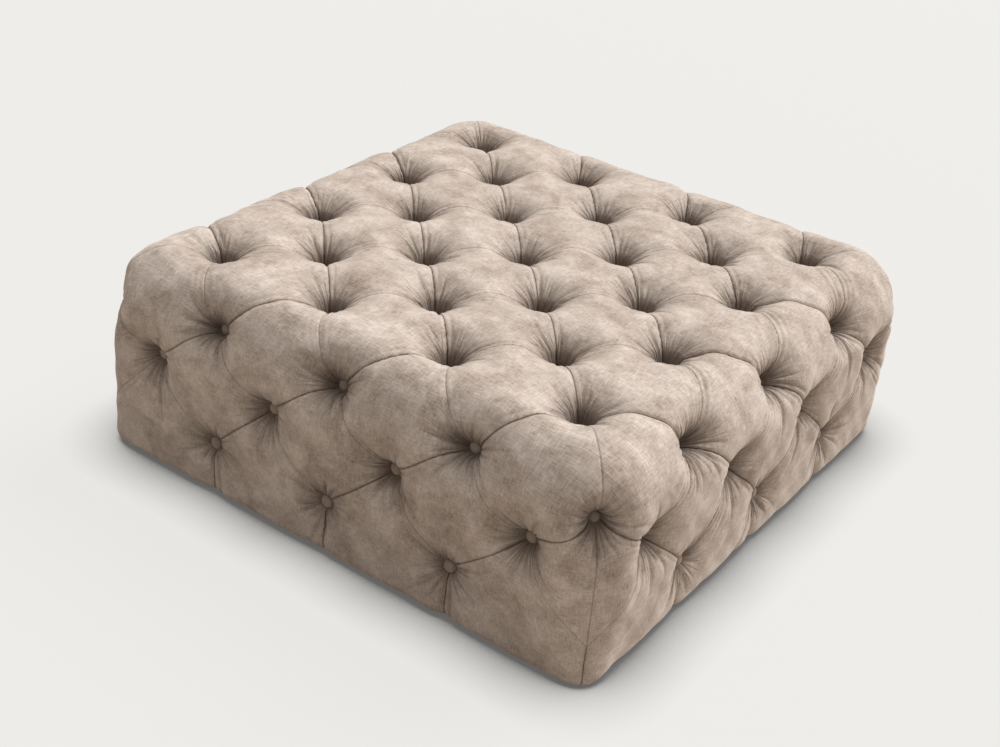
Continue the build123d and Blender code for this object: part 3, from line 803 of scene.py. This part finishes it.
detail -= seam_groove * np.exp(-from_corner / seam_width) * near_fade * (side > 0)

# %% Wrinkles along the soft pleats
wrinkle_spread = 13.0
wrinkle_width = 2.6
wrinkles = ((-1.3, 1.0), (-0.55, 1.7), (0.35, 1.3), (1.1, 1.5), (1.9, 0.8))
wrinkle_kinds = [over_front | over_back, on_top & ~shoulder, side > 2]
wrinkle_share = np.select(wrinkle_kinds, [0.3, 0.45, 0.7], default=1.2)
second_fold_away = 9.0
second_fold_width = 3.0
second_fold_depth = 1.1
bulge = np.sin(math.pi * np.clip(along_pleat, 0, 1)) ** 0.8
soft = ~sharp & ~corner_line & ~to_seam & ~seam
for k, (offset, depth) in enumerate(wrinkles):
    jitter = hashed(low_i + 9, low_j + 9, side, k) - 0.5
    centre = (offset + 0.5 * jitter) * wrinkle_spread * bulge
    near = np.exp(-(((aside - centre) / wrinkle_width) ** 2))
    detail -= np.where(soft, depth * wrinkle_share * near * near_fade * (1 + jitter), 0)
beside = aside * over_sign + second_fold_away * bulge
beside = np.exp(-((beside / second_fold_width) ** 2))
second_fold = second_fold_depth * beside * near_fade * bulge
detail -= np.where(sharp & ~hanging & ~corner_line, second_fold, 0)

# %% Gathers round the buttons
gather_count = 21
gather_reach = (40.0, 104.0)
gather_depth = (1.6, 4.8)
gather_width_share = 0.075
gather_width = (1.3, 3.4)
gather_profile = 1.25
gather_bend = 0.004
straight_at = 20
gather_start = (12, 27)
gather_fade = (0.35, 1.0)
longer_when_hanging = 0.35
deeper_when_hanging = 0.5
deeper_start = (24, 42)

fan = np.zeros((len(points), 3))
for node, middle, away, seat in ends:
    normal = skin_gap(middle)[1]
    across = np.cross(np.array([0.31, 0.52, 0.8]), normal)
    across /= np.linalg.norm(across, axis=1)[:, None]
    along = np.cross(normal, across)
    arm = skin_points - middle
    bearing = np.arctan2((arm * along).sum(axis=1), (arm * across).sum(axis=1))
    key_x, key_y, key_z = np.round(middle / 7).T
    width = np.clip(away * gather_width_share, *gather_width)
    nearest = away <= button_away
    hanging_down = np.where(side > 0, np.clip(-arm[:, 2] / np.maximum(away, 1), 0, 1), 0)
    own_number = hashed(key_x, key_y, key_z, 7) * 20
    spokes = np.stack([np.cos(bearing), np.sin(bearing), own_number], axis=1)
    fan[nearest] = spokes[nearest]
    for k in range(gather_count):
        jitter = hashed(key_x, key_y, key_z, k)
        long = hashed(key_x, key_y, key_z, k + 40)
        deep = hashed(key_x, key_y, key_z, k + 80)
        centre = (k + 0.8 * (jitter - 0.5)) * 2 * math.pi / gather_count
        turn = bearing - centre + gather_bend * (away - straight_at) * (long - 0.5)
        gap = away * ((turn + math.pi) % (2 * math.pi) - math.pi)
        reach = gather_reach[0] + (gather_reach[1] - gather_reach[0]) * long**2
        reach = reach * (1 + longer_when_hanging * hanging_down)
        depth = gather_depth[0] + (gather_depth[1] - gather_depth[0]) * deep
        strength = depth * ease(*gather_start, away) * (1 - ease(*gather_fade, away / reach))
        deeper = deeper_when_hanging * hanging_down * ease(*deeper_start, away)
        strength = strength * (1 + deeper)
        crease = np.exp(-((np.abs(gap) / width) ** gather_profile))
        detail -= np.where(seat > 0, strength * crease, 0)

# %% Hand-made unevenness
uneven_depth = 0.35
uneven_waves = 7
shortest_wave = 34.0
wave_range = 46.0
uneven_start = (20, 60)
uneven = np.zeros(len(points))
for k in range(uneven_waves):
    way = np.array([hashed(k, 1), hashed(k, 2), hashed(k, 3)]) - 0.5
    way /= np.linalg.norm(way)
    wavelength = shortest_wave + wave_range * hashed(k, 4)
    uneven += np.sin(skin_points @ way * 2 * math.pi / wavelength + 6.28 * hashed(k, 5))
detail += uneven_depth * uneven * ease(*uneven_start, button_away)

# %% Press the folds in
points = points + read_all(cover.data.vertex_normals, "vector") * detail[:, None]
print("folds", detail.min().round(2), "to", detail.max().round(2))

# %% [markdown]
# ## The hem
# Near the floor the cloth sags a little and turns under the frame in a small round hem. Its edge
# is then drawn in under the frame and closed, just above the dust cover.

# %% Round the hem
hem_sag = 6.5
below = np.clip(underside_height + hem_radius - points[:, 2], 0, hem_radius)
turn_in = hem_radius - np.sqrt(hem_radius**2 - below**2)
points[:, 2] -= hem_sag * (below / hem_radius) ** 2
level_out = outward[:, :2] / np.maximum(np.linalg.norm(outward[:, :2], axis=1), 1e-6)[:, None]
points[:, :2] -= level_out * (turn_in * (side > 0))[:, None]
write_points(cover.data, points * MM)

# %% What the cloth's material reads
def store(name, values):
    """Keeps one number, or one vector, for each point of the cover's mesh."""
    kind, field = ("FLOAT", "value") if values.ndim == 1 else ("FLOAT_VECTOR", "vector")
    kept = cover.data.attributes.new(name, kind, "POINT")
    kept.data.foreach_set(field, values.astype(np.float32).ravel())


# Painted shade, darkest at each button's seat and fading out, and more in the deepest folds.
painted_shade_most = np.where(side > 0, 0.78, 1.0)
painted_shade_fade = np.where(side > 0, 12.0, 17.0)
painted_shade_in_folds = np.where(side > 0, 0.24, 0.14)
deep_fold = 3.0
line_limit = 30.0
fan_limit = 120.0
painted_shade = painted_shade_most * np.exp(-(button_away - seat_radius) / painted_shade_fade)
painted_shade = np.clip(painted_shade + painted_shade_in_folds * np.clip(-detail / deep_fold, 0, 1), 0, 1)
# The nearest fold or seam line, for the painted shade along it and its fine relief.
line_away = np.where(from_corner < off, from_corner, off)
line_share = np.where(from_corner < off, seam_line_share, fold_share)
store("painted_shade", painted_shade)
store("line_away", np.clip(line_away, 0, line_limit))
store("line_share", np.clip(line_share * near_fade, 0, 1))
store("fan", fan)
store("fan_away", np.minimum(button_away, fan_limit))

# %% Close the underside
select_only(cover)
bpy.ops.object.mode_set(mode="EDIT")
bpy.ops.mesh.select_mode(type="EDGE")
bpy.ops.mesh.select_all(action="DESELECT")
bpy.ops.mesh.select_non_manifold()
for drawn_in in (0.99, 0.93):
    bpy.ops.mesh.extrude_region_move()
    bpy.ops.transform.resize(value=(drawn_in, drawn_in, 1), center_override=(0, 0, 0))
bpy.ops.mesh.edge_face_add()
bpy.ops.object.mode_set(mode="OBJECT")
bpy.ops.object.shade_smooth()
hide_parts("tufted_cover")
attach(cover, "root")

# %% [markdown]
# ## The batting
# A layer of fibre lies between the foam and the cloth and follows the cloth into every funnel. A
# coarse copy of the cover is remeshed, each of its points is put a few millimetres inside the
# cloth, and it is cut away round each button, where the fibre is pulled open, and underneath.

# %% Batting under the cloth
batting_gap = 10.0
bore_reach = 36.0
batting_thickness = 6.0
batting_grain = 9.0
above_the_edge = 4.0
open_below = 30.0
batting = bpy.data.objects.new("fibre_batting", cover.data.copy())
bpy.context.scene.collection.objects.link(batting)
select_only(batting)
batting.data.remesh_voxel_size = batting_grain * MM
batting.data.use_remesh_preserve_attributes = False
bpy.ops.object.voxel_remesh()
cloth_surface = BVHTree.FromObject(cover, bpy.context.evaluated_depsgraph_get())
on_cloth = [cloth_surface.find_nearest(place)[0] for place in read_all(batting.data.vertices)]
on_cloth = np.array(on_cloth) / MM
inside = on_cloth - skin_gap(on_cloth)[1] * batting_gap
inside[:, 2] = np.maximum(inside[:, 2], underside_height + above_the_edge)
write_points(batting.data, inside * MM)
shell = bmesh.new()
shell.from_mesh(batting.data)
bored = []
for places in seats.values():
    bored += [seat * MM for seat, axis, depth in places]
cut_away = []
for face in shell.faces:
    middle = face.calc_center_median()
    under = middle.z < open_below * MM and face.normal.z < -0.5
    if under or min((middle - seat).length for seat in bored) < bore_reach * MM:
        cut_away.append(face)
bmesh.ops.delete(shell, geom=cut_away, context="FACES")
shell.to_mesh(batting.data)
shell.free()
thick = batting.modifiers.new("thickness", "SOLIDIFY")
thick.thickness = batting_thickness * MM
thick.offset = -1
bpy.ops.object.modifier_apply(modifier="thickness")
bpy.ops.object.shade_smooth()
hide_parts("batting")
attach(batting, "root")
print("batting faces", len(batting.data.polygons))

# %% [markdown]
# ## The buttons
# A covered button is a domed metal shell with the same cloth pulled over it. It is flat in the
# middle, full at the rim, and the cloth is drawn in small puckers under the rim. One is modelled
# from a sphere that is cut in half. It is then copied to every seat, and each group of buttons is
# joined, so that it stands for its CAD node.

# %% One button
button_radius = 11.0
button_height = 7.0
button_tuck = 1.5
pucker_count = 12
pucker_depth = 0.035
pucker_power = 8
dome_power = 2.6
bpy.ops.object.select_all(action="DESELECT")
bpy.ops.mesh.primitive_uv_sphere_add(segments=36, ring_count=20, radius=button_radius)
pattern_button = bpy.context.object
bpy.ops.object.mode_set(mode="EDIT")
bpy.ops.mesh.select_all(action="SELECT")
bpy.ops.mesh.bisect(plane_co=(0, 0, 0), plane_no=(0, 0, 1), use_fill=True, clear_inner=True)
bpy.ops.object.mode_set(mode="OBJECT")
dome = read_all(pattern_button.data.vertices)
away = np.linalg.norm(dome[:, :2], axis=1) / button_radius
bearing = np.arctan2(dome[:, 1], dome[:, 0])
fullness = np.clip(1 - away**dome_power, 0, 1) ** 0.5
dome[:, 2] = (button_height + button_tuck) * fullness - button_tuck
gathered = pucker_depth * (0.5 + 0.5 * np.cos(pucker_count * bearing))
dome[:, :2] *= (1 - gathered * np.clip(away, 0, 1) ** pucker_power)[:, None]
write_points(pattern_button.data, dome)
select_only(pattern_button)
bpy.ops.object.shade_smooth()
print("button faces", len(pattern_button.data.polygons))

# %% Buttons on their seats
button_sets = {}
for group, places in seats.items():
    bpy.ops.object.select_all(action="DESELECT")
    for seat, axis, depth in places:
        button = pattern_button.copy()
        button.data = pattern_button.data.copy()
        bpy.context.scene.collection.objects.link(button)
        turned = axis.to_track_quat("Z", "Y").to_matrix().to_4x4()
        button.matrix_world = Matrix.Translation(seat * MM) @ turned @ Matrix.Scale(MM, 4)
        button.select_set(True)
    bpy.context.view_layer.objects.active = button
    bpy.ops.object.join()
    button.name = "covered_buttons_" + group
    bpy.ops.object.transform_apply(location=True, rotation=True, scale=True)
    node = group + "_buttons"
    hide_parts(node)
    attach(button, "root")
    button_sets[group] = button
bpy.data.objects.remove(pattern_button)

# %% [markdown]
# ## The cloth
# A short velvet with a linen-like ground. Close by it shows uneven threads both ways; from
# further off the nap is brushed in lighter and darker patches. Its colour is darkened with
# painted shade in the funnels and folds, where shade falls. The threads are noise that is
# stretched along the cloth's own UV map.

# %% Groups of nodes
def new_group(name, inputs, outputs):
    """A group's tree and its two end nodes. An input that has no number of its own is a vector."""
    tree = bpy.data.node_groups.new(name, "ShaderNodeTree")
    for label, value in inputs.items():
        kind = "NodeSocketVector" if value is None else "NodeSocketFloat"
        socket = tree.interface.new_socket(label, in_out="INPUT", socket_type=kind)
        if value is not None:
            socket.default_value = value
    for label in outputs:
        tree.interface.new_socket(label, in_out="OUTPUT", socket_type="NodeSocketFloat")
    return tree, tree.nodes.new("NodeGroupInput"), tree.nodes.new("NodeGroupOutput")


def use_group(tree, group, vector=None):
    """A group's node in a material, with the place that it reads."""
    node = tree.nodes.new("ShaderNodeGroup")
    node.node_tree = group
    if vector is not None:
        feed(tree, node.inputs["Vector"], vector)
    return node


# %% Threads
threads, threads_in, threads_out = new_group(
    "woven_threads", {"Vector": None}, ["Height", "Slubs"]
)
vector = threads_in.outputs["Vector"]
warp = noise(threads, vector, 1.0, 3, (560, 90, 1))
weft = noise(threads, vector, 1.0, 3, (90, 560, 1))
feed(threads, threads_out.inputs["Height"], weighted_sum(threads, [(warp, 0.5), (weft, 0.5)]))
slub_warp = noise(threads, vector, 1.0, 2, (430, 42, 1))
slub_weft = noise(threads, vector, 1.0, 2, (42, 430, 1))
feed(threads, threads_out.inputs["Slubs"], maths(threads, "MAXIMUM", slub_warp, slub_weft))

# %% Brushed nap
nap, nap_in, nap_out = new_group("brushed_nap", {"Vector": None}, ["Patches"])
vector = nap_in.outputs["Vector"]
patches = weighted_sum(nap, [
    (noise(nap, vector, 17.0, 5, (1, 1, 1), 0.6), 0.6),
    (noise(nap, vector, 60.0, 4, (1, 1, 1), 0.3), 0.25),
    (noise(nap, vector, 260.0, 3), 0.15),
])
feed(nap, nap_out.inputs["Patches"], spread(nap, patches, 0.36, 0.64))

# %% Fine creases that fan out from a button, and the line in a fold: relief and painted shade
line_width = 1.3
crease_start = 14.0
crease_drift = 0.012
fine_folds, fine_in, fine_out = new_group(
    "fine_folds",
    {"Fan": None, "Fan Away": fan_limit, "Line Away": line_limit, "Line Share": 0.0},
    ["Creases", "Lines"],
)
fan_away = fine_in.outputs["Fan Away"]


def fan_creases(tree, scale, thin, reach):
    """Thin lines where noise round the button crosses its middle value, fading with distance."""
    drift = tree.nodes.new("ShaderNodeCombineXYZ")
    feed(tree, drift.inputs["Z"], maths(tree, "MULTIPLY", fan_away, crease_drift))
    moved = tree.nodes.new("ShaderNodeVectorMath")
    moved.operation = "MULTIPLY_ADD"
    feed(tree, moved.inputs[0], fine_in.outputs["Fan"])
    feed(tree, moved.inputs[1], (scale, scale, 1))
    feed(tree, moved.inputs[2], drift.outputs["Vector"])
    value = noise(tree, moved.outputs["Vector"], 1.0, 1)
    gap = maths(tree, "ABSOLUTE", maths(tree, "SUBTRACT", value, 0.5), 0.0)
    line = maths(tree, "SUBTRACT", 1.0, maths(tree, "DIVIDE", gap, thin), clamp=True)
    return maths(tree, "MULTIPLY", line, spread(tree, fan_away, reach, crease_start, "SMOOTHSTEP"))


long_creases = fan_creases(fine_folds, scale=3.4, thin=0.09, reach=76.0)
short_creases = fan_creases(fine_folds, scale=6.5, thin=0.12, reach=50.0)
short_creases = maths(fine_folds, "MULTIPLY", short_creases, 0.8)
creases = maths(fine_folds, "MAXIMUM", long_creases, short_creases)
feed(fine_folds, fine_out.inputs["Creases"], creases)
line = maths(fine_folds, "DIVIDE", fine_in.outputs["Line Away"], line_width)
line = maths(fine_folds, "SUBTRACT", 1.0, line, clamp=True)
line = maths(fine_folds, "MULTIPLY", line, fine_in.outputs["Line Share"])
feed(fine_folds, fine_out.inputs["Lines"], line)


# %% Cloth for the cover and the buttons
def stored(tree, name, output="Fac"):
    """A number or vector that is kept for each point of the mesh."""
    node = tree.nodes.new("ShaderNodeAttribute")
    node.attribute_name = name
    return node.outputs[output]


def cloth(name, dark, middle, light, uv_map=None):
    """The velvet: its nap, threads, folds and painted shade, on its UV map or on Object."""
    material, tree, shader = new_material(name)
    object_place = tree.nodes.new("ShaderNodeTexCoord").outputs["Object"]
    folds = use_group(tree, fine_folds)
    cloth_place = object_place
    if uv_map:
        map_in = tree.nodes.new("ShaderNodeUVMap")
        map_in.uv_map = uv_map
        cloth_place = map_in.outputs["UV"]
        feed(tree, folds.inputs["Fan"], stored(tree, "fan", "Vector"))
        feed(tree, folds.inputs["Fan Away"], stored(tree, "fan_away"))
        feed(tree, folds.inputs["Line Away"], stored(tree, "line_away"))
        feed(tree, folds.inputs["Line Share"], stored(tree, "line_share"))
    weave = use_group(tree, threads, cloth_place)
    brushed = use_group(tree, nap, object_place)
    height, slubs = weave.outputs["Height"], weave.outputs["Slubs"]
    creases, lines = folds.outputs["Creases"], folds.outputs["Lines"]

    lightness = [(brushed.outputs["Patches"], 0.46), (height, 1.2), (slubs, 0.55)]
    colour = blend_colours(tree, weighted_sum(tree, lightness, -0.675, clamp=True), middle, light)
    # Painted shade: towards the dark tone in the funnels and deep folds, in the fine creases and
    # along the fold and seam lines.
    painted_shade_terms = [(stored(tree, "painted_shade"), 0.92), (creases, 0.08), (lines, 0.5)]
    colour = blend_colours(tree, weighted_sum(tree, painted_shade_terms, clamp=True), colour, dark)
    feed(tree, shader.inputs["Base Color"], colour)
    feed(tree, shader.inputs["Roughness"], weighted_sum(tree, [(height, 0.2)], 0.72))
    shader.inputs["Sheen Weight"].default_value = 0.4
    shader.inputs["Sheen Roughness"].default_value = 0.45
    shader.inputs["Sheen Tint"].default_value = (1.0, 0.88, 0.78, 1)
    shader.inputs["Specular IOR Level"].default_value = 0.15
    thread_relief = relief(tree, weighted_sum(tree, [(height, 1.0), (slubs, 0.5)]), 0.5, 0.0006)
    sunk = weighted_sum(tree, [(creases, -1.0), (lines, -1.0)])
    fold_relief = relief(tree, sunk, 1.0, 0.0019)
    feed(tree, fold_relief.inputs["Normal"], thread_relief.outputs["Normal"])
    feed(tree, shader.inputs["Normal"], fold_relief.outputs["Normal"])
    return material


# dark is the tone of the painted shade in the funnels, folds, creases and fold lines.
cover_cloth = cloth(
    "taupe_velvet",
    dark=(0.105, 0.066, 0.044),
    middle=(0.27, 0.195, 0.145),
    light=(0.91, 0.812, 0.735),
    uv_map="weave",
)
# The buttons' velvet is a darker copy of the cover's: painted shade for their place at the bottom
# of the funnels.
shaded_button_cloth = cloth(
    "shaded_button_velvet",
    dark=(0.14, 0.1, 0.075),
    middle=(0.26, 0.2, 0.158),
    light=(0.46, 0.38, 0.32),
)
cover.data.materials.append(cover_cloth)
for button in button_sets.values():
    button.data.materials.clear()
    button.data.materials.append(shaded_button_cloth)
bpy.context.scene.view_settings.view_transform = "Standard"

# %% [markdown]
# ## What is inside
# The frame, the foam and the fixings are hidden, but each still has the finish it would have on
# the bench: sawn pine, birch ply, open foam, white fibre, waxed twine, moulded plastic, zinc and
# a black dust cloth. They all read Object coordinates.

# %% A plain finish from noise
def speckled(name, colours, scale, stretch, rough, bump_depth=0.0004, metallic=0.0):
    """A finish of two colours mixed by stretched noise, with a fine relief from the same noise."""
    material, tree, shader = new_material(name)
    object_place = tree.nodes.new("ShaderNodeTexCoord").outputs["Object"]
    grain = noise(tree, object_place, scale, 5, stretch, 0.4)
    colour = blend_colours(tree, spread(tree, grain, 0.32, 0.68), *colours)
    feed(tree, shader.inputs["Base Color"], colour)
    feed(tree, shader.inputs["Roughness"], weighted_sum(tree, [(grain, 0.25)], rough - 0.12))
    shader.inputs["Metallic"].default_value = metallic
    feed(tree, shader.inputs["Normal"], relief(tree, grain, 0.5, bump_depth).outputs["Normal"])
    return material


# %% Finishes by piece
even = (1, 1, 1)
pine = ((0.50, 0.34, 0.19), (0.72, 0.55, 0.36))
upright_pine = ((0.48, 0.33, 0.19), (0.70, 0.53, 0.35))
birch = ((0.58, 0.44, 0.28), (0.74, 0.61, 0.43))
foam = ((0.70, 0.62, 0.42), (0.84, 0.78, 0.60))
fibre = ((0.66, 0.66, 0.64), (0.90, 0.90, 0.88))
twine = ((0.40, 0.34, 0.25), (0.60, 0.53, 0.41))
pale_plastic = ((0.62, 0.62, 0.60), (0.68, 0.68, 0.66))
dark_plastic = ((0.012, 0.012, 0.012), (0.03, 0.03, 0.03))
zinc = ((0.55, 0.56, 0.57), (0.70, 0.71, 0.72))
dark_cloth = ((0.018, 0.018, 0.019), (0.05, 0.05, 0.052))

# Each row is a finish and the starts of the names of the nodes that have it. A node takes the
# first row that fits, so a longer start comes before a shorter one.
finishes = (
    (
        speckled("sawn_pine_along_y", pine, 1.0, (140, 9, 140), 0.75),
        "base_rail_right", "base_rail_left", "top_rail_right", "top_rail_left",
        "deck_cross_rail", "base_cross_rail",
    ),
    (speckled("sawn_pine_along_x", pine, 1.0, (9, 140, 140), 0.75), "base_rail", "top_rail"),
    (
        speckled("sawn_pine_upright", upright_pine, 1.0, (140, 140, 9), 0.75),
        "corner_post", "corner_block",
    ),
    (
        speckled("zinc_plate", zinc, 250.0, even, 0.38, 0.00005, 1.0),
        "side_board_screws", "button_backs", "foot_screws", "underside_staples",
        "frame_screws", "deck_screws",
    ),
    (speckled("birch_ply", birch, 1.0, (14, 90, 400), 0.6), "deck_board", "side_board"),
    (speckled("open_foam", foam, 700.0, even, 0.95, 0.001), "top_foam", "side_foam"),
    (speckled("waxed_twine", twine, 900.0, (1, 1, 0.3), 0.8), "tufting_twines"),
    (speckled("moulded_plastic", pale_plastic, 300.0, even, 0.5, 0.0001), "twine_toggles"),
    (speckled("foot_plastic", dark_plastic, 400.0, even, 0.5, 0.0001), "foot"),
    (speckled("black_dust_cloth", dark_cloth, 500.0, even, 0.95, 0.0005), "dust_cover"),
)
batting.data.materials.append(speckled("white_fibre", fibre, 160.0, even, 0.98, 0.002))
finished = 0
for name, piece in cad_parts.items():
    for material, *starts in finishes:
        if name.startswith(tuple(starts)):
            for slot in piece.material_slots:
                slot.material = material
            finished += 1
            break
print("nodes with a bench finish", finished, "of", len(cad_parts))
